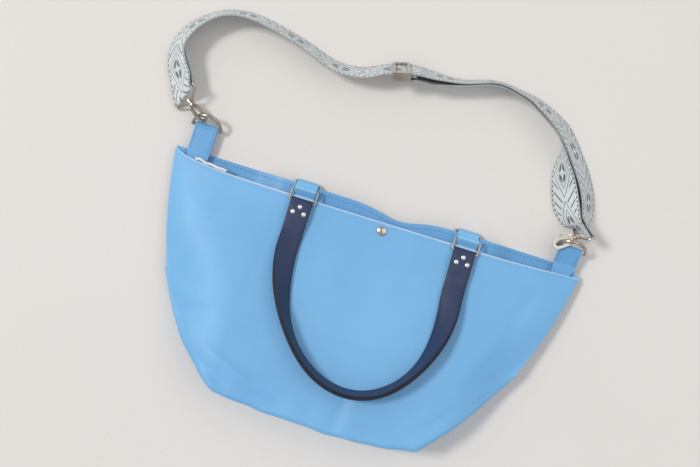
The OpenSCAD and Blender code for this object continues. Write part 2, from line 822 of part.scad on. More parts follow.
// Three turns of spring wire on the gate's pin, beside its tongue
module hook_spring() {
    color(nickel)
        for (i = [0:2])
            translate([pin_at[0], pin_at[1], 0.26 + 0.25 * i])
                rotate_extrude($fn = 24)
                    translate([1.05, 0])
                        circle(r = 0.12, $fn = 8);
}
module hook_eye() {
    half = strap_w / 2 + 2.3;
    arm_x = -eye_far + 4.8;
    color(nickel)
        difference() {
            union() {
                translate([-3.7, 0, 0])
                    rotate([0, 90, 0])
                        cylinder(r = 4, h = 3.7, $fn = 32);
                bent_wire(
                    [
                        [-2, -6.5, 0], [-2, 6.5, 0], [-2.6, 7.6, 0], [arm_x + 0.6, half - 0.6, 0],
                        [arm_x - 0.6, half, 0], [-eye_far + 0.6, half, 0], [-eye_far, half - 0.6, 0],
                        [-eye_far, -half + 0.6, 0], [-eye_far + 0.6, -half, 0],
                        [arm_x - 0.6, -half, 0], [arm_x + 0.6, -half + 0.6, 0], [-2.6, -7.6, 0]
                    ],
                    [0, 0, 1], eye_wire / 2, true
                );
            }
            translate([-6, 0, 0])
                rotate([0, 90, 0])
                    cylinder(r = 1.82, h = 8, $fn = 32);
        }
}

// Shoulder strap: each row is a point of its middle line in plan, its lean and how far it is raised
// The lean is 90 where the webbing stands upright and more where its top edge leans to the bag

// The rows below are drawn for a mouth 488 long, and stretch along X with the mouth
strap_stretch = mouth_w / 488;
slider_at = [-22 * strap_stretch, 164];
slider_yaw = 15;
slider_lean = 115;
slider_raise = 6.4;
slider_half_h = strap_w / 2 + 4;
slider_bar_z = 4.4;
web_r = eye_wire / 2 + 0.2 + strap_t / 2;
main_rows = [
    [-262, 82, 136, 3.6], [-271, 98, 131, 2.8], [-275, 115, 124, 1.9], [-271, 132, 121, 0.8],
    [-258, 151, 116, 0], [-232, 169, 111, 0], [-196, 173, 111, 0], [-143, 162, 112, 0],
    [-98, 147.5, 116, 0], [-64, 149, 117, 2],
    [-40.4, 159.1, slider_lean, slider_raise], [-32.6, 161.2, slider_lean, slider_raise],
    [-22, 164, slider_lean, slider_raise], [-11.4, 166.8, slider_lean, slider_raise],
    [-3.6, 168.9, slider_lean, slider_raise],
    [16, 170, 112, 2], [49, 173, 105, 0], [88, 184, 103, 0], [124, 180, 108, 0],
    [143, 174, 115, 0], [160.2, 165.6, 120, 0], [177.4, 154.5, 124, 0], [190.5, 140.4, 125, 0],
    [200.2, 128.2, 125, 0], [210.4, 115.1, 125, 0], [219.8, 100.3, 124, 0],
    [227.5, 83.8, 123, 0], [231.7, 66, 118, 0], [233, 56, 100, 0.5]
];
return_rows = [
    [16, 161.5, 111, 2], [49, 166, 104, 0], [88, 177.5, 102, 0], [121, 173, 107, 0],
    [138, 167.5, 112, 0], [156.5, 159.6, 116, 0], [171, 147.5, 112, 0], [180, 132, 100, 0],
    [184.5, 116.5, 82, 0], [189.8, 102.3, 66, 0], [196.4, 87.9, 58, 0], [202.3, 74, 56, 0],
    [210.5, 62.5, 60, 0], [217.5, 54.6, 70, 1]
];

// Height of the webbing's middle line at this lean, when its lower edge is raised this much
function web_z(lean, raise) =
    seat + raise + strap_w / 2 * sin(lean) + strap_t / 2 * abs(cos(lean));
function strap_stations(rows) =
    let (line = smooth_line(rows, 4), n = len(line))
    [
        for (i = [0:n - 1])
            let (
                a = line[max(0, i - 1)],
                b = line[min(n - 1, i + 1)],
                d = unit([(b[0] - a[0]) * strap_stretch, b[1] - a[1]]),
                p = line[i],
                lean = p[2]
            )
            [
                [p[0] * strap_stretch, p[1], web_z(lean, p[3])],
                [-d[1] * cos(lean), d[0] * cos(lean), sin(lean)]
            ]
    ];
// Points round a bar that the webbing turns on, at plan angle a
function round_bar(bar, across, a) =
    let (
        e1 = unit([1, 0, 0] - across[0] * across),
        e2 = cross(across, e1)
    )
    [bar + web_r * (cos(a) * e1 + sin(a) * e2), across];
function slider_point(x, z) = [
    [slider_at[0], slider_at[1], web_z(slider_lean, slider_raise)]
        + turned([x, 0, z], [slider_lean, 0, slider_yaw]),
    turned([0, 1, 0], [slider_lean, 0, slider_yaw])
];
module strap_webbing() {
    bar = eye_bar(-1);
    across = eye_across(-1);
    inner = turned([0, 0, -1], hook_turn(-1, 0));
    lap = [
        for (t = [1, 0.6, 0.25])
            let (
                main = strap_stations(main_rows)[round(8 * t)],
                n = unit(cross(heading(strap_stations(main_rows), round(8 * t)), main[1]))
            )
            [main[0] + n * mix(4.4, strap_t + seat + 0.1, t), main[1]]
    ];
    color(webbing_white)
        strip(
            concat(
                lap,
                [for (a = [30:-30:-150]) round_bar(bar, across, a)],
                strap_stations(main_rows),
                [for (a = [37:-25:-113]) round_bar(eye_bar(1), eye_across(1), a)]
            ),
            strap_w, strap_t
        );
}
module strap_return() {
    lap = [[17, 2.5], [12, 2.3], [7, 2.1], [2, 1.9]];
    turn = [for (a = [0:30:180]) [-web_r * sin(a), slider_bar_z - web_r * cos(a)]];
    run = [[8, slider_bar_z + web_r], [16, slider_bar_z + web_r]];
    color(webbing_white)
        strip(
            concat(
                [for (p = concat(lap, turn, run)) slider_point(p[0], p[1])],
                strap_stations(return_rows),
                [for (a = [-180, -158, -136]) round_bar(eye_bar(1), eye_across(1), a)]
            ),
            strap_w, strap_t
        );
}
module strap_slider() {
    color(nickel)
        translate(slider_point(0, 0)[0])
            rotate([slider_lean, 0, slider_yaw])
                {
                    for (s = [-1, 1]) {
                        translate([s * (slider_l / 2 - 1.6) - 1.6, -slider_half_h, -3.3])
                            cube([3.2, 2 * slider_half_h, 2.2]);
                        translate([-slider_l / 2, s * (slider_half_h - 1.75) - 1.75, -3.3])
                            cube([slider_l, 3.5, slider_bar_z + 4.8]);
                    }
                    wire([0, -slider_half_h + 1, slider_bar_z], [0, slider_half_h - 1, slider_bar_z],
                        1.5);
                }
}

module lay() {
    translate([0, rest_y, 0])
        children();
}

lay() panel(true);  // front_panel
lay() panel(false);  // back_panel
lay() facing(true);  // front_facing
lay() facing(false);  // back_facing
lay() lining(true);  // front_lining
lay() lining(false);  // back_lining
lay() inner_pocket();
lay() side_tab(-1);  // left_side_tab
lay() side_tab(1);  // right_side_tab
lay() d_ring(-1);  // left_d_ring
lay() d_ring(1);  // right_d_ring
lay() handle_tab(-1, true);  // front_left_handle_tab
lay() handle_tab(1, true);  // front_right_handle_tab
lay() handle_tab(-1, false);  // back_left_handle_tab
lay() handle_tab(1, false);  // back_right_handle_tab
lay() handle_ring(-1, true);  // front_left_ring
lay() handle_ring(1, true);  // front_right_ring
lay() handle_ring(-1, false);  // back_left_ring
lay() handle_ring(1, false);  // back_right_ring
lay() handle_outer(true);  // front_handle_outer
lay() handle_backing(true);  // front_handle_backing
lay() handle_outer(false);  // back_handle_outer
lay() handle_backing(false);  // back_handle_backing
lay() handle_rivets(true);  // front_handle_rivets
lay() handle_rivets(false);  // back_handle_rivets
lay() snap_front_cap();
lay() snap_front_half();
lay() snap_back_half();
lay() snap_back_cap();
lay() strap_webbing();
lay() strap_return();
lay() strap_slider();
lay() on_hook(-1, 0) hook_eye();  // left_hook_eye
lay() on_hook(-1, 1) hook_claw();  // left_hook_claw
lay() on_hook(-1, 1) hook_gate();  // left_hook_gate
lay() on_hook(-1, 1) hook_gate_pin();  // left_hook_gate_pin
lay() on_hook(-1, 1) hook_spring();  // left_hook_spring
lay() on_hook(1, 0) hook_eye();  // right_hook_eye
lay() on_hook(1, 1) hook_claw();  // right_hook_claw
lay() on_hook(1, 1) hook_gate();  // right_hook_gate
lay() on_hook(1, 1) hook_gate_pin();  // right_hook_gate_pin
lay() on_hook(1, 1) hook_spring();  // right_hook_spring
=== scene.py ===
import math

import bpy
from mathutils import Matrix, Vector


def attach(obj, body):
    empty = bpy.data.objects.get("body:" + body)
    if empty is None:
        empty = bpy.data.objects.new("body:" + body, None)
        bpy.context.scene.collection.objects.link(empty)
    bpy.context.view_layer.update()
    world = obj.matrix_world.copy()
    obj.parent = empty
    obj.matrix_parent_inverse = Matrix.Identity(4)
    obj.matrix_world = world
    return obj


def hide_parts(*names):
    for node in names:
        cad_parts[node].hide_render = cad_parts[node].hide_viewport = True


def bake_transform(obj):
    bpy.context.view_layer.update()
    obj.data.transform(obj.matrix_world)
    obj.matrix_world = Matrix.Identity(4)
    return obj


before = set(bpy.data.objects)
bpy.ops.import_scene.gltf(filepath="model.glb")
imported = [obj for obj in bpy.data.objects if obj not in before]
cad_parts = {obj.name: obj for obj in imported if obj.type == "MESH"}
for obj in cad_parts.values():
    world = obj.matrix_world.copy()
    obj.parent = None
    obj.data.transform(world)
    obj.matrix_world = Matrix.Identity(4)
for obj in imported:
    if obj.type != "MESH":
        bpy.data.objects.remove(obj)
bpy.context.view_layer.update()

# Sizes in millimetres, in the bag's own frame. REST_Y moves them into the model's frame.

REST_Y = 240.0

# Outline in plan
MOUTH_W = 488.0
WAIST_W = 412.0
BASE_W = 236.0
WAIST_DROP = 130.0
BAG_H = 243.0
BASE_BOW = 9.0
RIM_DIP = 8.0
SIDE_BOW = 4.0
CORNER_LIFT = 4.5
MOUTH_GAPE = 12.0

# Heights of the panels above the floor
RIM_H = 22.0
BASE_RISE = 58.0
DOME = 8.0
BACK_ARCH = 10.3
ARCH_HALF = 122.0
ARCH_SIDE = 38.0
ARCH_LOW_ROW = 0.885
ARCH_END_ROW = 0.93
FLAT_SHARE = 0.45

# Values for the left and for the right side of the bag
CORNER_Z = (9.0, 12.0)
WAIST_Z = (12.0, 24.0)
SIDE_BOW_OUT = (13.0, 5.0)
WAIST_OUT = (8.0, 0.0)

# Base fold
BASE_FOLD = 50.0
NOSE_MAX = 7.0
CREASE_HALF = 0.75

# Leather, cloth and the snap that pulls the rims together
LEATHER_T = 1.2
FACING_T = 0.8
FACING_SHARE = 0.14
LINING_T = 0.5
SEAT = 0.3
SNAP_X = 11.0
SNAP_PULL = 2.5
FACING_NEAR = LEATHER_T / 2 + SEAT
FACING_FAR = FACING_NEAR + FACING_T

# Handles
HANDLE_W = 25.0
HANDLE_SPAN = 194.0
HANDLE_LEG = 70.0
HANDLE_BOW = 131.0
HANDLE_SKEW = 11.0
OUTER_T = 1.8
BACKING_T = 2.6
RING_R = 1.4

# Shoulder strap
STRAP_W = 38.0
STRAP_T = 1.6


def mix(a, b, t):
    return a + (b - a) * t


def clamp(x, low=0.0, high=1.0):
    return min(high, max(low, x))


def ease(t):
    c = clamp(t)
    return c * c * (3 - 2 * c)


def bump(x, middle, spread):
    return math.exp(-(((x - middle) / spread) ** 2))


def pick(u, pair):
    return pair[0] if u < 0 else pair[1]


def sign(u):
    return (u > 0) - (u < 0)


def sind(a):
    return math.sin(math.radians(a))


def cosd(a):
    return math.cos(math.radians(a))


def metres(p):
    return Vector((p[0], p[1] + REST_Y, p[2])) / 1000


# The bag's outline in plan, and the heights of its two panels

def outline(u):
    if abs(u) <= 0.5:
        return Vector((u * BASE_W, -BAG_H - BASE_BOW * (1 - 4 * u * u), 0))
    t = 2 * abs(u) - 1
    base = Vector((BASE_W / 2, -BAG_H, 0))
    waist = Vector((WAIST_W / 2 + pick(u, WAIST_OUT), -WAIST_DROP, 0))
    along = (waist - base).normalized()
    p = base.lerp(waist, t) + 4 * t * (1 - t) * pick(u, SIDE_BOW_OUT) * Vector((along.y, -along.x, 0))
    return Vector((sign(u) * p.x, p.y, 0))


def inward(u):
    return (Vector((0, -100, 0)) - outline(u)).normalized()


def seam_z(u, v):
    return mix(pick(u, CORNER_Z), pick(u, WAIST_Z), v)


def seam_half(v):
    return 0.85 + 1.75 * ease((v - 0.8) / 0.2)


def front_rim_z(u):
    return RIM_H - SNAP_PULL * bump(u * MOUTH_W / 2, SNAP_X, 35)


def front_z(u, v):
    open_z = mix(front_rim_z(u), BASE_RISE, v ** 1.5) + DOME * sind(180 * v) ** 2
    closed = mix(abs(u) ** 8, ease(2 * abs(u) - 1), v)
    return mix(open_z, seam_z(u, v) + seam_half(v), closed)


def back_z(u, v, p):
    arch = BACK_ARCH * (1 - ease((abs(p.x - SNAP_X) - ARCH_HALF) / ARCH_SIDE))
    arch *= 1 - ease((v - ARCH_LOW_ROW) / (ARCH_END_ROW - ARCH_LOW_ROW))
    side_rise = max(0, (abs(u) - FLAT_SHARE) / (1 - FLAT_SHARE)) ** 5
    return mix(LEATHER_T / 2 + arch, seam_z(u, v) - seam_half(v), side_rise)


def nose_r(u):
    low = back_z(u, 1, outline(u) + 6 * inward(u))
    return min(NOSE_MAX, (front_z(u, 1) - low - 1.6) / 4)


def crease_z(u):
    return (front_z(u, 1) + back_z(u, 1, outline(u) + 6 * inward(u))) / 2


def front_rim(u):
    lift = sign(u) * CORNER_LIFT * abs(u) ** 16
    return Vector((u * MOUTH_W / 2, -RIM_DIP * (1 - abs(u) ** 6) - lift, 0))


def rim_gap(u):
    pulled = 1 - 0.7 * bump(u * MOUTH_W / 2, SNAP_X + 15, 30)
    return MOUTH_GAPE * pulled * (1 - abs(u) ** 8) + 3


def panel_point(u, v, front):
    """Middle of a panel's leather: v runs 0 at the rim, 1 at the outline, 2 under the base fold."""
    up = 1 if front else -1
    r = nose_r(u)
    q = outline(u) + (r if front else r + 3) * inward(u)
    rim = front_rim(u) if front else front_rim(u) + Vector((0, rim_gap(u), 0))
    w = min(1, v)
    bow = sign(u) * SIDE_BOW * abs(u) ** 6 * 4 * w * (1 - w)
    p = rim.lerp(q, w) + Vector((bow, 0, 0))
    if v <= 1:
        p.z = front_z(u, v) if front else back_z(u, v, p)
        return p
    top = front_z(u, 1) if front else back_z(u, 1, q)
    if v <= 1.5:
        a = 360 * (v - 1)
        p = q - r * sind(a) * inward(u)
        p.z = top + up * r * (cosd(a) - 1)
        return p
    t = 2 * v - 3
    tuck = mix(BASE_FOLD, 5, ease(2 * abs(u) - 1))
    p = q + t * (tuck - r) * inward(u)
    p.z = mix(top - 2 * up * r, crease_z(u) + CREASE_HALF * up, t)
    return p


# Soft unevenness of the front leather: middle x, y, its two spreads, the turn of its long side, height
FRONT_FOLDS = (
    (-31, -138, 42, 4, -16, 1.1),
    (26, -145, 55, 4, -4, 1.1),
    (58, -141, 30, 3, 6, 0.8),
    (-198, -119, 22, 8, 70, -2.2),
    (-179, -151, 24, 7, 8, 1.8),
    (-176, -166, 26, 4, 6, -2.0),
    (-138, -222, 50, 9, -22, -3.6),
    (-104, -214, 40, 5, -24, 1.8),
    (24, -226, 26, 8, 78, -2.4),
    (40, -222, 24, 9, 70, 1.2),
    (-59, -238, 34, 9, -4, -2.4),
    (72, -236, 26, 8, 10, -1.8),
    (120, -200, 34, 7, 46, 1.8),
    (160, -120, 42, 9, 62, 1.6),
    (190, -60, 30, 8, 70, -1.8),
    (-60, -60, 90, 22, 4, 0.9),
    (60, -84, 60, 16, -10, -0.8),
)


def fold_height(p, folds):
    total = 0.0
    for x, y, long_side, short_side, turn, height in folds:
        dx, dy = p.x - x, p.y - y
        a = dx * cosd(turn) + dy * sind(turn)
        b = dy * cosd(turn) - dx * sind(turn)
        total += height * math.exp(-((a / long_side) ** 2) - (b / short_side) ** 2)
    return total


def edge_wave(u, v):
    """Waves of the leather along the base fold, which die out up the panel."""
    near = ease((v - 0.82) / 0.18) * (1 - ease((v - 1.35) / 0.3))
    wave = math.sin(9.5 * u + 0.6) + 0.6 * math.sin(23 * u - 1.1) + 0.35 * math.sin(41 * u)
    return near * (1 - abs(u) ** 4) * wave


def shaped_point(u, v, front):
    p = panel_point(u, v, front)
    if front:
        p.z += fold_height(p, FRONT_FOLDS) * (1 - abs(u) ** 10) * ease(2 - v)
        p.z += edge_wave(u, v)
        p += 0.8 * edge_wave(u + 0.2, v) * inward(u)
    return p


def into_bag(u, v, front):
    e = 0.003
    du = shaped_point(min(1, u + e), v, front) - shaped_point(max(-1, u - e), v, front)
    dv = shaped_point(u, min(2, v + e), front) - shaped_point(u, max(0, v - e), front)
    n = du.cross(dv).normalized()
    return n if front else -n


# Materials

def linear(c):
    c = c / 255
    return c / 12.92 if c <= 0.04045 else ((c + 0.055) / 1.055) ** 2.4


def colour(r, g, b):
    return (linear(r), linear(g), linear(b), 1.0)


class Paint:
    """One material with its node tree and short ways to add nodes."""

    def __init__(self, name, base, rough, metallic=0.0):
        self.material = bpy.data.materials.new(name)
        self.material.use_nodes = True
        self.tree = self.material.node_tree
        self.shader = self.tree.nodes["Principled BSDF"]
        self.shader.inputs["Base Color"].default_value = base
        self.shader.inputs["Roughness"].default_value = rough
        self.shader.inputs["Metallic"].default_value = metallic
        self.coords = self.tree.nodes.new("ShaderNodeTexCoord")
        self.bumps = None

    def link(self, a, b):
        self.tree.links.new(a, b)

    def math(self, kind, a, b=0.0):
        node = self.tree.nodes.new("ShaderNodeMath")
        node.operation = kind
        for socket, value in zip(node.inputs, (a, b)):
            if isinstance(value, (int, float)):
                socket.default_value = value
            else:
                self.link(value, socket)
        return node.outputs[0]

    def noise(self, scale, detail=4.0, kind="ShaderNodeTexNoise", stretch=None):
        node = self.tree.nodes.new(kind)
        node.inputs["Scale"].default_value = scale
        if kind == "ShaderNodeTexNoise":
            node.inputs["Detail"].default_value = detail
        source = self.coords.outputs["Object"]
        if stretch:
            mapping = self.tree.nodes.new("ShaderNodeMapping")
            mapping.inputs["Scale"].default_value = stretch
            self.link(source, mapping.inputs["Vector"])
            source = mapping.outputs["Vector"]
        self.link(source, node.inputs["Vector"])
        return node.outputs["Distance" if kind == "ShaderNodeTexVoronoi" else "Fac"]

    def spread(self, value, low, high):
        node = self.tree.nodes.new("ShaderNodeMapRange")
        self.link(value, node.inputs["Value"])
        node.inputs["To Min"].default_value = low
        node.inputs["To Max"].default_value = high
        return node.outputs["Result"]

    def tint(self, value, low, high, low_at=0.0, high_at=1.0):
        node = self.tree.nodes.new("ShaderNodeValToRGB")
        node.color_ramp.elements[0].color = low
        node.color_ramp.elements[0].position = low_at
        node.color_ramp.elements[1].color = high
        node.color_ramp.elements[1].position = high_at
        self.link(value, node.inputs["Fac"])
        return node.outputs["Color"]

    def blend_colours(self, value, a, b):
        node = self.tree.nodes.new("ShaderNodeMix")
        node.data_type = "RGBA"
        self.link(value, node.inputs["Factor"])
        for socket, source in ((node.inputs["A"], a), (node.inputs["B"], b)):
            if isinstance(source, tuple):
                socket.default_value = source
            else:
                self.link(source, socket)
        return node.outputs["Result"]

    def raise_by(self, value, strength, distance):
        node = self.tree.nodes.new("ShaderNodeBump")
        node.inputs["Strength"].default_value = strength
        node.inputs["Distance"].default_value = distance
        self.link(value, node.inputs["Height"])
        if self.bumps:
            self.link(self.bumps, node.inputs["Normal"])
        self.bumps = node.outputs["Normal"]
        self.link(self.bumps, self.shader.inputs["Normal"])


def leather(name, light, dark, rough, grain=900.0, depth=0.00016, coat=0.0):
    paint = Paint(name, light, rough)
    cloudy = paint.noise(9.0, 5.0)
    paint.link(paint.tint(cloudy, dark, light, 0.32, 0.62), paint.shader.inputs["Base Color"])
    pebbles = paint.noise(grain, kind="ShaderNodeTexVoronoi")
    paint.raise_by(pebbles, 0.35, depth)
    paint.raise_by(paint.noise(240.0, 3.0), 0.2, depth * 1.6)
    wear = paint.spread(paint.noise(38.0, 3.0), rough - 0.06, rough + 0.08)
    paint.link(wear, paint.shader.inputs["Roughness"])
    paint.shader.inputs["Coat Weight"].default_value = coat
    paint.shader.inputs["Coat Roughness"].default_value = 0.35
    return paint.material


def metal(name, light, dark, rough):
    paint = Paint(name, light, rough, 1.0)
    cloud = paint.noise(60.0, 3.0)
    paint.link(paint.tint(cloud, dark, light, 0.3, 0.6), paint.shader.inputs["Base Color"])
    scratches = paint.noise(900.0, 2.0, stretch=(1, 0.08, 1))
    paint.link(paint.spread(scratches, rough - 0.05, rough + 0.06), paint.shader.inputs["Roughness"])
    paint.raise_by(scratches, 0.05, 0.00002)
    return paint.material


def cloth(name, light, dark, threads_per_mm=2.2):
    paint = Paint(name, light, 0.85)
    weave = []
    for axis in ("X", "Y"):
        wave = paint.tree.nodes.new("ShaderNodeTexWave")
        wave.bands_direction = axis
        wave.inputs["Scale"].default_value = 1000 * threads_per_mm / 6.28
        wave.inputs["Distortion"].default_value = 0.6
        paint.link(paint.coords.outputs["Object"], wave.inputs["Vector"])
        weave.append(wave.outputs["Fac"])
    woven = paint.math("MULTIPLY", weave[0], weave[1])
    paint.raise_by(woven, 0.5, 0.00012)
    paint.link(paint.tint(paint.noise(30.0), dark, light, 0.3, 0.7), paint.shader.inputs["Base Color"])
    paint.shader.inputs["Sheen Weight"].default_value = 0.2
    return paint.material


def webbing(name, ground, stroke, patterned):
    """Ribbed woven tape. UV: x counts widths along the tape and y runs 0 to 1 across it."""
    paint = Paint(name, ground, 0.78)
    parts = paint.tree.nodes.new("ShaderNodeSeparateXYZ")
    paint.link(paint.coords.outputs["UV"], parts.inputs["Vector"])
    along, across = parts.outputs["X"], parts.outputs["Y"]
    ribs = paint.math("SINE", paint.math("MULTIPLY", along, 260.0))
    cross_ribs = paint.math("SINE", paint.math("MULTIPLY", across, 170.0))
    paint.raise_by(paint.math("MULTIPLY", ribs, cross_ribs), 0.5, 0.00018)
    cloud = paint.tint(paint.noise(45.0), tuple(0.86 * c for c in ground[:3]) + (1.0,), ground, 0.3, 0.7)
    if not patterned:
        paint.link(cloud, paint.shader.inputs["Base Color"])
        return paint.material

    def times(a, b):
        return paint.math("MULTIPLY", a, b)

    def plus(a, b):
        return paint.math("ADD", a, b)

    def minus(a, b):
        return paint.math("SUBTRACT", a, b)

    def size_of(value):
        return paint.math("ABSOLUTE", value)

    def below(value, limit):
        return paint.math("LESS_THAN", value, limit)

    def above(value, limit):
        return paint.math("GREATER_THAN", value, limit)

    def either(a, b):
        return paint.math("MAXIMUM", a, b)

    def repeated(value):
        return paint.math("FRACT", value)

    side = minus(across, 0.5)
    far = size_of(side)
    # Lozenges in a row with a smaller one inside each
    cell = size_of(minus(repeated(times(along, 0.62)), 0.5))
    lozenge = plus(cell, times(far, 1.25))
    marks = below(size_of(minus(lozenge, 0.46)), 0.014)
    marks = either(marks, below(size_of(minus(lozenge, 0.3)), 0.011))
    # Four leaf-shaped petals in the middle of each lozenge
    leaf_from = plus(times(cell, cell), times(times(side, side), 1.5))
    petals = times(below(leaf_from, 0.032), above(times(cell, far), 0.0028))
    marks = either(marks, petals)
    # Slanting strokes fill the corners between the lozenges
    slant = repeated(plus(times(along, 3.4), times(far, 4.0)))
    strokes = times(times(below(slant, 0.2), above(lozenge, 0.56)), below(far, 0.39))
    marks = either(marks, strokes)
    # A dashed line along each edge
    dash = below(repeated(times(along, 7.0)), 0.6)
    marks = either(marks, times(below(size_of(minus(far, 0.445)), 0.022), dash))
    paint.link(paint.blend_colours(marks, cloud, stroke), paint.shader.inputs["Base Color"])
    paint.raise_by(marks, 0.3, 0.0002)
    return paint.material


SKY = leather("sky_leather", colour(124, 188, 236), colour(116, 180, 230), 0.5, coat=0.04)
# Near-white painted highlight along the rolled rim, also used on the cut edges of the leather and facing
SKY_EDGE_PAINTED_HIGHLIGHT = leather("sky_edge_painted_highlight", colour(222, 226, 242), colour(176, 206, 234), 0.42)
# Lighter copy of the tab leather: painted highlight for the handle tabs
SKY_TAB_PAINTED_HIGHLIGHT = leather("sky_tab_painted_highlight", colour(136, 202, 246), colour(128, 194, 240), 0.46)
DEEP = leather("deep_leather", colour(112, 176, 226), colour(100, 164, 216), 0.46)
NAVY = leather("navy_leather", colour(44, 60, 98), colour(36, 48, 82), 0.5, 700.0)
NAVY_EDGE = leather("navy_edge", colour(22, 27, 46), colour(17, 20, 34), 0.5, 1400.0)
GREY_CLOTH = cloth("grey_lining", colour(176, 184, 190), colour(160, 168, 176))
WHITE_CLOTH = cloth("white_cloth", colour(240, 240, 238), colour(228, 229, 230))
THREAD = cloth("blue_thread", colour(40, 96, 158), colour(30, 80, 140), 5.0)
PALE_THREAD = cloth("sky_thread", colour(122, 184, 232), colour(112, 174, 224), 5.0)
NAVY_THREAD = cloth("navy_thread", colour(30, 36, 62), colour(22, 27, 48), 5.0)
GREY_THREAD = cloth("grey_thread", colour(196, 200, 202), colour(170, 176, 180), 5.0)
NICKEL = metal("nickel", colour(206, 196, 182), colour(176, 166, 152), 0.22)
BRIGHT = metal("bright_nickel", colour(244, 244, 244), colour(226, 227, 229), 0.3)
TAPE = webbing("patterned_tape", colour(232, 238, 239), colour(92, 106, 112), True)
TAPE_BACK = webbing("plain_tape", colour(176, 180, 179), colour(120, 120, 120), False)


# Mesh helpers

def make(name, points, faces, materials, body, kinds=None, uvs=None, smooth=40):
    mesh = bpy.data.meshes.new(name)
    mesh.from_pydata([metres(p) for p in points], [], faces)
    for m in materials:
        mesh.materials.append(m)
    if kinds:
        mesh.polygons.foreach_set("material_index", kinds)
    if uvs:
        layer = mesh.uv_layers.new(name="UVMap")
        for loop in mesh.loops:
            layer.data[loop.index].uv = uvs[loop.vertex_index]
    mesh.shade_smooth()
    mesh.set_sharp_from_angle(angle=math.radians(smooth))
    mesh.validate()
    piece = bpy.data.objects.new(name, mesh)
    bpy.context.collection.objects.link(piece)
    if body:
        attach(piece, body)
    return piece


def skin(name, us, vs, front, near, far, materials, body, edge=0, turned_rows=0):
    """A closed sheet on one panel, between two depths below the leather's middle.
    edge is the material of its cut edges, and of the first turned_rows rows on its outside."""
    mids = [[(shaped_point(u, v, front), into_bag(u, v, front)) for u in us] for v in vs]
    rows, cols = len(vs), len(us)
    points = [p + n * near for row in mids for p, n in row]
    points += [p + n * far for row in mids for p, n in row]
    half = rows * cols
    faces, kinds = [], []

    def quad(a, b, c, d, kind):
        faces.append((a, b, c, d) if front else (d, c, b, a))
        kinds.append(kind)

    for i in range(rows - 1):
        for j in range(cols - 1):
            k = i * cols + j
            quad(k, k + cols, k + cols + 1, k + 1, edge if i < turned_rows else 0)
            quad(half + k, half + k + 1, half + k + cols + 1, half + k + cols, 0)
    rim = list(range(cols))
    rim += [i * cols + cols - 1 for i in range(1, rows)]
    rim += [(rows - 1) * cols + j for j in range(cols - 2, -1, -1)]
    rim += [i * cols for i in range(rows - 2, 0, -1)]
    for a, b in zip(rim, rim[1:] + rim[:1]):
        quad(a, b, half + b, half + a, edge)
    return make(name, points, faces, materials, body, kinds)


def headings(line):
    last = len(line) - 1
    return [(line[min(last, i + 1)][0] - line[max(0, i - 1)][0]).normalized() for i in range(last + 1)]


def strap_band(name, line, width, thick, materials, body, lift=0.0, crown=0.0):
    """A flat band swept along points with a direction across it.
    Faces: 0 upper side, 1 lower side, 2 the edges. Rounded corners and a slight crown."""
    heads = headings(line)
    r = min(0.42 * thick, 0.7)
    w, h = width / 2, thick / 2
    inner = w - r
    cut = 0.3 * r
    ring = [(-inner, -h), (-inner / 2, -h), (0, -h), (inner / 2, -h), (inner, -h)]
    ring += [(w - cut, -h + cut), (w, -h + r), (w, h - r), (w - cut, h - cut)]
    ring += [(inner, h), (inner / 2, h + 0.75 * crown), (0, h + crown), (-inner / 2, h + 0.75 * crown)]
    ring += [(-inner, h), (-w + cut, h - cut), (-w, h - r), (-w, -h + r), (-w + cut, -h + cut)]
    sides = [1, 1, 1, 1, 2, 2, 2, 2, 2, 0, 0, 0, 0, 2, 2, 2, 2, 2]
    points, faces, kinds, uvs = [], [], [], []
    travelled = 0.0
    for i, (p, across) in enumerate(line):
        if i:
            travelled += (p - line[i - 1][0]).length
        up = heads[i].cross(across).normalized()
        for a, b in ring:
            points.append(p + across * a + up * (b + lift))
            uvs.append((travelled / width, a / width + 0.5))
    n = len(ring)
    for i in range(len(line) - 1):
        for k in range(n):
            a, b = i * n + k, i * n + (k + 1) % n
            faces.append((a, a + n, b + n, b))
            kinds.append(sides[k])
    last = (len(line) - 1) * n
    faces += [tuple(range(n)), tuple(range(last + n - 1, last - 1, -1))]
    kinds += [2, 2]
    return make(name, points, faces, materials, body, kinds, uvs, 55)


def stitches(name, path, material, body, pitch=4.2, share=0.62, radius=0.34):
    """Thread dashes along a path of points and surface normals, a little sunk into the leather."""
    points, faces = [], []
    rings, sides = (0.0, 0.18, 0.5, 0.82, 1.0), 6
    swell = (0.25, 0.85, 1.0, 0.85, 0.25)
    at = [0.0]
    for (a, _), (b, _) in zip(path, path[1:]):
        at.append(at[-1] + (b - a).length)
    count = int(at[-1] / pitch)

    def place(s):
        k = max(i for i in range(len(at) - 1) if at[i] <= s + 1e-9)
        t = (s - at[k]) / max(1e-9, at[k + 1] - at[k])
        return path[k][0].lerp(path[k + 1][0], t), path[k][1].lerp(path[k + 1][1], t).normalized()

    for i in range(count):
        s = (i + 0.5 - share / 2) * pitch
        (a, n), (b, _) = place(s), place(s + share * pitch)
        ahead = (b - a).normalized()
        aside = ahead.cross(n).normalized()
        first = len(points)
        for t, size in zip(rings, swell):
            middle = a.lerp(b, t) + n * 0.12 * (size - 0.6)
            for k in range(sides):
                c = 360 / sides * k
                points.append(middle + radius * size * (aside * cosd(c) + n * sind(c) * 0.8))
        for k in range(len(rings) - 1):
            for m in range(sides):
                c, d = first + k * sides + m, first + k * sides + (m + 1) % sides
                faces.append((c, d, d + sides, c + sides))
        faces.append(tuple(first + m for m in range(sides - 1, -1, -1)))
        faces.append(tuple(first + (len(rings) - 1) * sides + m for m in range(sides)))
    return make(name, points, faces, [material], body)


def spaced(low, high, count):
    return [mix(low, high, i / (count - 1)) for i in range(count)]


# Bag shell

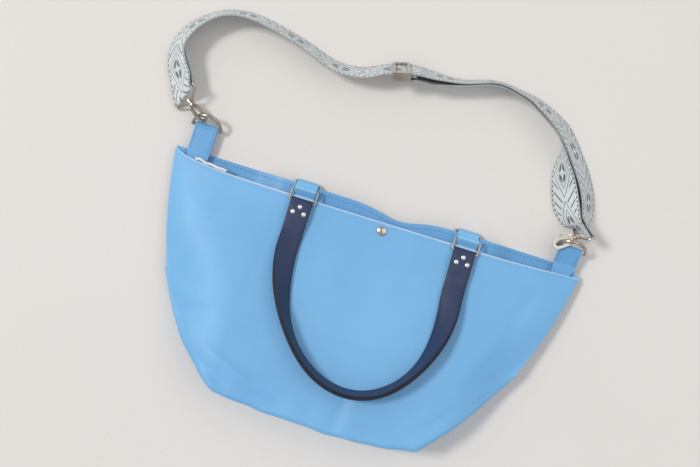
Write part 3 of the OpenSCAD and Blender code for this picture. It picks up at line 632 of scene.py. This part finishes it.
FINE = spaced(-1, 1, 141)
RIM_FOLD = 0.006
ROWS = [0, RIM_FOLD] + spaced(0, 0.14, 9)[1:-1] + spaced(0.14, 0.82, 26)[:-1] + spaced(0.82, 1, 12)[:-1]
ROWS += spaced(1, 1.5, 13)[:-1] + spaced(1.5, 2, 9)
for side in (True, False):
    word = "front" if side else "back"
    # The rim's turned row and the cut edges of leather and facing wear the painted rim highlight
    panel = skin(word + "_leather", FINE, ROWS, side, -LEATHER_T / 2, LEATHER_T / 2,
                 [SKY, SKY_EDGE_PAINTED_HIGHLIGHT], "bag", 1, 1 if side else 0)
    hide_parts(word + "_panel")
    facing_us = spaced(-0.96, 0.96, 121)
    facing = skin(word + "_mouth_facing", facing_us, spaced(0, FACING_SHARE, 12), side,
                  FACING_NEAR, FACING_FAR, [DEEP, SKY_EDGE_PAINTED_HIGHLIGHT], "bag", 1)
    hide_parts(word + "_facing")
    lining_us = spaced(-0.88, 0.88, 101)
    lining_vs = [FACING_SHARE + 0.005] + [v for v in ROWS if v > FACING_SHARE + 0.02]
    lining = skin(word + "_cloth_lining", lining_us, lining_vs, side,
                  FACING_NEAR, FACING_NEAR + LINING_T, [GREY_CLOTH], "bag")
    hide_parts(word + "_lining")

pocket = skin("cloth_pocket", spaced(-0.87, -0.5, 31), spaced(0.01, 0.5, 31), True,
              FACING_FAR + SEAT, FACING_FAR + SEAT + LINING_T, [WHITE_CLOTH], "bag")
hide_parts("inner_pocket")


def along_panel(us, drop, front, depth, flip):
    """Path at one distance below the rim, on the leather's outside or the facing's inside."""
    path = []
    v = drop / (BAG_H + BASE_BOW - RIM_DIP)
    for u in us:
        n = into_bag(u, v, front)
        path.append((shaped_point(u, v, front) + n * depth, n * flip))
    return path


RIM_STITCH_OUT = 5.5
RIM_STITCH_IN = 5.0

seam_us = spaced(-0.965, 0.965, 240)
for side in (True, False):
    word = "front" if side else "back"
    outer = along_panel(seam_us, RIM_STITCH_OUT, side, -LEATHER_T / 2, -1)
    stitches(word + "_rim_stitches_outside", outer, PALE_THREAD, "bag", radius=0.24)
    inner = along_panel([u for u in seam_us if abs(u) < 0.95], RIM_STITCH_IN, side, FACING_FAR, 1)
    stitches(word + "_rim_stitches_inside", inner, THREAD, "bag")


# The pocket's folded cloth edge shows in the left end of the mouth
HEM_W = 3.4
HEM_T = 0.8
HEM_SPAN = (-0.895, -0.735)
HEM_ACROSS = (0, 0.9, 0.44)

hem = []
for t in spaced(0, 1, 33):
    u = mix(*HEM_SPAN, t)
    rise = 1.6 * math.sin(9 * t) ** 2 * (1 - t)
    height = mix(front_rim_z(u), seam_z(u, 0), abs(u) ** 8) - 1.4
    hem.append((front_rim(u) + Vector((0, 1.9 + rise, height)), Vector(HEM_ACROSS)))
hem_band = strap_band("pocket_hem", hem, HEM_W, HEM_T, [WHITE_CLOTH], "bag", crown=0.3)


# Side tabs' stitching, on the tab's upper leather

SIDE_BARS = {-1: Vector((-217, 37, 10)), 1: Vector((224, 26, 18))}
BAR_LINE = (SIDE_BARS[1] - SIDE_BARS[-1]).normalized()
BAR_ACROSS = Vector((0, 0, 1)).cross(BAR_LINE).normalized()
BAR_UP = BAR_LINE.cross(BAR_ACROSS)
SIDE_TAB_W = 26.0
SIDE_TAB_T = 1.6
SIDE_TAB_R = 3.7
TAB_STITCH_IN = 2.2


def tab_point(side, x, y, z):
    return SIDE_BARS[side] + BAR_LINE * x + BAR_ACROSS * y + BAR_UP * z


for side, root_top in ((-1, 10.5), (1, 13.0)):
    bar = SIDE_BARS[side]
    root = (8 - bar.y, root_top - bar.z + SIDE_TAB_T + 0.1)
    profile = [root, (SIDE_TAB_R * cosd(120), SIDE_TAB_R * sind(120)), (0, SIDE_TAB_R)]
    word = "left" if side < 0 else "right"
    for x in (-SIDE_TAB_W / 2 + TAB_STITCH_IN, SIDE_TAB_W / 2 - TAB_STITCH_IN):
        path = [(tab_point(side, x, y, z), BAR_UP) for y, z in profile]
        edge = "outer" if x * side > 0 else "inner"
        stitches(f"{word}_tab_stitches_{edge}", path, THREAD, "bag", 3.4, 0.66, 0.32)


# Handles

# The rings' lower bars, y and z, in front and at the back
LOWER_BARS = {True: (-12.9, RIM_H + 4.7), False: (-5.0, 5.2)}
FOLD_R = RING_R + 0.1 + OUTER_T / 2
STACK_T = OUTER_T + 0.1 + BACKING_T
HANDLE_STITCH_IN = 2.4
LAP_END_Y = -31.0
LAP_LIFT = OUTER_T + SEAT
CAP_ROOM = 2.2
# How far each handle's band turns on edge in the bow, in front and at the back
TURNS = {True: 82.0, False: 8.0}


def ring_x(side):
    return SNAP_X + side * HANDLE_SPAN / 2


def front_mid_z(x, y):
    v = max(0, (-RIM_DIP - y) / (BAG_H + BASE_BOW - RIM_DIP - NOSE_MAX))
    u = x / mix(MOUTH_W / 2, BASE_W, v)
    return front_z(u, v)


def handle_line(front):
    bar = LOWER_BARS[front]
    leg, bow = 14, 64
    plan = [(ring_x(-1), mix(bar[0], -HANDLE_LEG, i / leg)) for i in range(leg)]
    for i in range(bow + 1):
        a = 180 * i / bow
        x = SNAP_X - HANDLE_SPAN / 2 * cosd(a) + HANDLE_SKEW * sind(a)
        plan.append((x, -HANDLE_LEG - HANDLE_BOW * sind(a)))
    plan += [(ring_x(1), mix(bar[0], -HANDLE_LEG, i / leg)) for i in range(leg - 1, -1, -1)]
    line = []
    for i, (x, y) in enumerate(plan):
        nxt, prev = plan[min(len(plan) - 1, i + 1)], plan[max(0, i - 1)]
        d = Vector((nxt[0] - prev[0], nxt[1] - prev[1], 0)).normalized()
        turn = TURNS[front] * ease((-y - 24) / 150)
        half = STACK_T / 2 * cosd(turn) + HANDLE_W / 2 * sind(turn)
        over_lap = 1 - ease((-y + LAP_END_Y) / 20)
        on_front = front_mid_z(x, y) + LEATHER_T / 2 + mix(0.5, CAP_ROOM + LAP_LIFT, over_lap)
        on_floor = mix(SEAT, LOWER_BARS[False][1] - FOLD_R - OUTER_T / 2, 1 - ease((-y - 10) / 60))
        z = half + (on_front if front else on_floor)
        inner = Vector((-d.y, d.x, 0))
        line.append((Vector((x, y, z)), inner * cosd(turn) - Vector((0, 0, sind(turn)))))
    return line


def shifted(line, by):
    heads = headings(line)
    return [(p + by * heads[i].cross(a).normalized(), a) for i, (p, a) in enumerate(line)]


def handle_end(side, front):
    bar = LOWER_BARS[front]
    up = 1 if front else -1
    x, across = ring_x(side), Vector((-side, 0, 0))
    lap_z = bar[1] - up * FOLD_R
    far = front_mid_z(x, LAP_END_Y) + LEATHER_T / 2 + CAP_ROOM + OUTER_T / 2 if front else lap_z
    spots = [(LAP_END_Y, far), ((LAP_END_Y + bar[0]) / 2, (far + lap_z) / 2)]
    for a in range(-90, 91, 15):
        spots.append((bar[0] + FOLD_R * cosd(a), bar[1] + up * FOLD_R * sind(a)))
    return [(Vector((x, y, z)), across) for y, z in spots]


for front in (True, False):
    word = "front" if front else "back"
    up = 1 if front else -1
    body = word + "_handle_body"
    line = handle_line(front)
    outer_line = shifted(line, up * (STACK_T - OUTER_T) / 2)
    whole = handle_end(-1, front) + outer_line[1:-1] + handle_end(1, front)[::-1]
    outer = strap_band(word + "_handle_leather", whole, HANDLE_W, OUTER_T,
                       [NAVY, NAVY, NAVY_EDGE], body)
    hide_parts(word + "_handle_outer")
    start_y = LOWER_BARS[front][0] - 3
    below = -up * (STACK_T - BACKING_T / 2 - OUTER_T / 2)
    backing_line = [s for s in outer_line if s[0].y < start_y]
    backing = strap_band(word + "_handle_back_leather", backing_line, HANDLE_W, BACKING_T,
                         [NAVY, NAVY, NAVY_EDGE], body, lift=below)
    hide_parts(word + "_handle_backing")
    heads = headings(outer_line)
    for edge in (-1, 1):
        path = []
        for (p, across), d in zip(outer_line[3:-3], heads[3:-3]):
            n = d.cross(across).normalized() * up
            path.append((p + across * edge * (HANDLE_W / 2 - HANDLE_STITCH_IN) + n * OUTER_T / 2, n))
        where = "outer" if edge < 0 else "inner"
        stitches(f"{word}_handle_stitches_{where}", path, NAVY_THREAD, body, 3.6, 0.7, 0.3)


# Shoulder strap

SLIDER_AT = (-22.0, 164.0)
SLIDER_YAW = 15.0
SLIDER_LEAN = 115.0
SLIDER_RAISE = 6.4
SLIDER_BAR_Z = 4.4
EYE_WIRE_R = 1.5
WEB_R = EYE_WIRE_R + 0.2 + STRAP_T / 2
EYE_FAR = 13.0
# Each hook's place, and its turns about x, y and z
HOOKS = {
    -1: ((-241.7, 57.7, 17.3), (40, -6, -34.7)),
    1: ((223.7, 41.1, 23.8), (72, -6, 217)),
}
# Each row is a point in plan, the lean from flat, and how far the lower edge is raised
MAIN_ROWS = [
    (-262, 82, 136, 3.6), (-271, 98, 131, 2.8), (-275, 115, 124, 1.9), (-271, 132, 121, 0.8),
    (-258, 151, 116, 0), (-232, 169, 111, 0), (-196, 173, 111, 0), (-143, 162, 112, 0),
    (-98, 147.5, 116, 0), (-64, 149, 117, 2),
    (-40.4, 159.1, SLIDER_LEAN, SLIDER_RAISE), (-32.6, 161.2, SLIDER_LEAN, SLIDER_RAISE),
    (-22, 164, SLIDER_LEAN, SLIDER_RAISE), (-11.4, 166.8, SLIDER_LEAN, SLIDER_RAISE),
    (-3.6, 168.9, SLIDER_LEAN, SLIDER_RAISE),
    (16, 170, 112, 2), (49, 173, 105, 0), (88, 184, 103, 0), (124, 180, 108, 0),
    (143, 174, 115, 0), (160.2, 165.6, 120, 0), (177.4, 154.5, 124, 0), (190.5, 140.4, 125, 0),
    (200.2, 128.2, 125, 0), (210.4, 115.1, 125, 0), (219.8, 100.3, 124, 0),
    (227.5, 83.8, 123, 0), (231.7, 66, 118, 0), (233, 56, 100, 0.5),
]
RETURN_ROWS = [
    (16, 161.5, 111, 2), (49, 169.5, 104, 0), (88, 181, 102, 0), (123, 177, 107, 0),
    (139.5, 171.5, 112, 0), (158.3, 162, 116, 0), (172.9, 150, 112, 0), (182, 134, 100, 0),
    (185.7, 117.6, 77, 0), (191.1, 103.3, 60.5, 0), (197.7, 88.8, 52, 0), (203.9, 74.9, 49.5, 0),
    (210.9, 62.8, 58, 0), (217.5, 54.6, 70, 1),
]


def smooth_line(rows, steps):
    rows = [Vector(r) for r in rows]
    ends = [2 * rows[0] - rows[1]] + rows + [2 * rows[-1] - rows[-2]]
    line = []
    for i in range(len(rows) - 1):
        a, b, c, d = ends[i:i + 4]
        for s in range(steps):
            t = s / steps
            line.append(0.5 * (2 * b + (c - a) * t + (2 * a - 5 * b + 4 * c - d) * t * t
                               + (3 * b - a - 3 * c + d) * t ** 3))
    line.append(rows[-1])
    return line


def web_z(lean, lift):
    return SEAT + lift + STRAP_W / 2 * sind(lean) + STRAP_T / 2 * abs(cosd(lean))


def strap_stations(rows, steps=8):
    line = smooth_line(rows, steps)
    stations = []
    for i, p in enumerate(line):
        a, b = line[max(0, i - 1)], line[min(len(line) - 1, i + 1)]
        d = Vector((b[0] - a[0], b[1] - a[1])).normalized()
        lean, lift = p[2], p[3]
        across = Vector((-d.y * cosd(lean), d.x * cosd(lean), sind(lean)))
        stations.append((Vector((p[0], p[1], web_z(lean, lift))), across))
    return stations


def turned(v, a):
    """A point turned about x, then y, then z."""
    x = (v[0], v[1] * cosd(a[0]) - v[2] * sind(a[0]), v[1] * sind(a[0]) + v[2] * cosd(a[0]))
    y = (x[0] * cosd(a[1]) + x[2] * sind(a[1]), x[1], x[2] * cosd(a[1]) - x[0] * sind(a[1]))
    return Vector((y[0] * cosd(a[2]) - y[1] * sind(a[2]), y[0] * sind(a[2]) + y[1] * cosd(a[2]), y[2]))


def round_eye(side, a):
    at, turn = HOOKS[side]
    bar = Vector(at) + turned((-EYE_FAR, 0, 0), turn)
    across = turned((0, 1, 0), turn)
    e1 = (Vector((1, 0, 0)) - across.x * across).normalized()
    e2 = across.cross(e1)
    return bar + WEB_R * (cosd(a) * e1 + sind(a) * e2), across


def slider_point(x, z):
    turn = (SLIDER_LEAN, 0, SLIDER_YAW)
    height = web_z(SLIDER_LEAN, SLIDER_RAISE)
    return Vector((*SLIDER_AT, height)) + turned((x, 0, z), turn), turned((0, 1, 0), turn)


main = strap_stations(MAIN_ROWS)
main_heads = headings(main)
lap = []
for t in spaced(1, 0.25, 9):
    k = round(16 * t)
    normal = main_heads[k].cross(main[k][1]).normalized()
    lap.append((main[k][0] + normal * mix(4.4, STRAP_T + SEAT + 0.1, t), main[k][1]))
main_line = lap + [round_eye(-1, a) for a in range(30, -151, -15)] + main
main_line += [round_eye(1, a) for a in range(37, -114, -15)]
web = strap_band("shoulder_strap", main_line, STRAP_W, STRAP_T, [TAPE_BACK, TAPE, TAPE_BACK],
                 "strap_body")
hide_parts("strap_webbing")

tail = [slider_point(x, z) for x, z in ((17, 2.5), (12, 2.3), (7, 2.1), (2, 1.9))]
tail += [slider_point(-WEB_R * sind(a), SLIDER_BAR_Z - WEB_R * cosd(a)) for a in range(0, 181, 20)]
tail += [slider_point(x, SLIDER_BAR_Z + WEB_R) for x in (8, 16)]
tail += strap_stations(RETURN_ROWS) + [round_eye(1, a) for a in (-180, -158, -136)]
back_run = strap_band("shoulder_strap_return", tail, STRAP_W, STRAP_T, [TAPE, TAPE_BACK, TAPE_BACK],
                      None)
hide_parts("strap_return")
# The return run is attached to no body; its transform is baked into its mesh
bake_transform(back_run)

# Box stitching where the left end is sewn to itself
for row, offset in (("near", 6), ("far", 14)):
    spot = main[offset]
    n = main_heads[offset].cross(spot[1]).normalized()
    path = [(spot[0] + spot[1] * w - n * STRAP_T / 2, -n) for w in spaced(-16, 16, 12)]
    stitches("strap_lap_stitches_" + row, path, GREY_THREAD, "strap_body", 3.0, 0.7, 0.35)


# Materials of the metal and leather pieces that the model already holds

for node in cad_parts:
    obj = bpy.data.objects.get(node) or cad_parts[node]
    if obj.hide_render:
        continue
    surface = NICKEL
    if "rivets" in node:
        surface = BRIGHT
    # Handle tabs take the lighter leather copy with painted highlight
    elif "handle_tab" in node:
        surface = SKY_TAB_PAINTED_HIGHLIGHT
    elif "tab" in node:
        surface = DEEP
    obj.data.materials.clear()
    obj.data.materials.append(surface)


# Floor, light and camera

FLOOR_HALF = 6.0
PAPER = colour(229, 225, 220)

floor_corners = [(x * FLOOR_HALF, y * FLOOR_HALF, 0) for x, y in ((-1, -1), (1, -1), (1, 1), (-1, 1))]
floor_mesh = bpy.data.meshes.new("floor")
floor_mesh.from_pydata(floor_corners, [], [(0, 1, 2, 3)])
floor = bpy.data.objects.new("floor", floor_mesh)
bpy.context.collection.objects.link(floor)
floor.location.z = -0.0004
ground = Paint("floor_paper", PAPER, 0.9)
mottle = ground.tint(ground.noise(3.0), PAPER, colour(235, 232, 228))
ground.link(mottle, ground.shader.inputs["Base Color"])
floor_mesh.materials.append(ground.material)


LAMP_AIM = Vector((0, 0.2, 0))
LAMP_TONE = (1.0, 0.98, 0.95)


def area_light(name, place, size, power):
    lamp = bpy.data.lights.new(name, "AREA")
    lamp.size = size
    lamp.energy = power
    lamp.color = LAMP_TONE
    holder = bpy.data.objects.new(name, lamp)
    bpy.context.collection.objects.link(holder)
    holder.location = place
    holder.rotation_euler = (LAMP_AIM - Vector(place)).to_track_quat("-Z", "Y").to_euler()


# The main light comes from the photograph's left and a little above, so shadows fall to its right
area_light("window", place=(-3.6, 0.55, 5.4), size=1.25, power=178)
area_light("fill", place=(1.4, 0.9, 3.0), size=2.6, power=18)

world = bpy.data.worlds.new("studio")
bpy.context.scene.world = world
world.use_nodes = True
sky = world.node_tree.nodes["Background"]
sky.inputs["Color"].default_value = (0.95, 0.96, 1.0, 1.0)
sky.inputs["Strength"].default_value = 0.5

CAMERA_AT = (-22.96, -31.30, 1165.0)
CAMERA_ROLL = 17.2
LENS = 51.43
eye = bpy.data.cameras.new("photo_camera")
eye.lens = LENS
eye.sensor_width = 36.0
camera = bpy.data.objects.new("photo_camera", eye)
bpy.context.collection.objects.link(camera)
camera.location = metres(CAMERA_AT)
camera.rotation_euler = (0, 0, math.radians(CAMERA_ROLL))
bpy.context.scene.camera = camera

bpy.context.scene.view_settings.view_transform = "Standard"
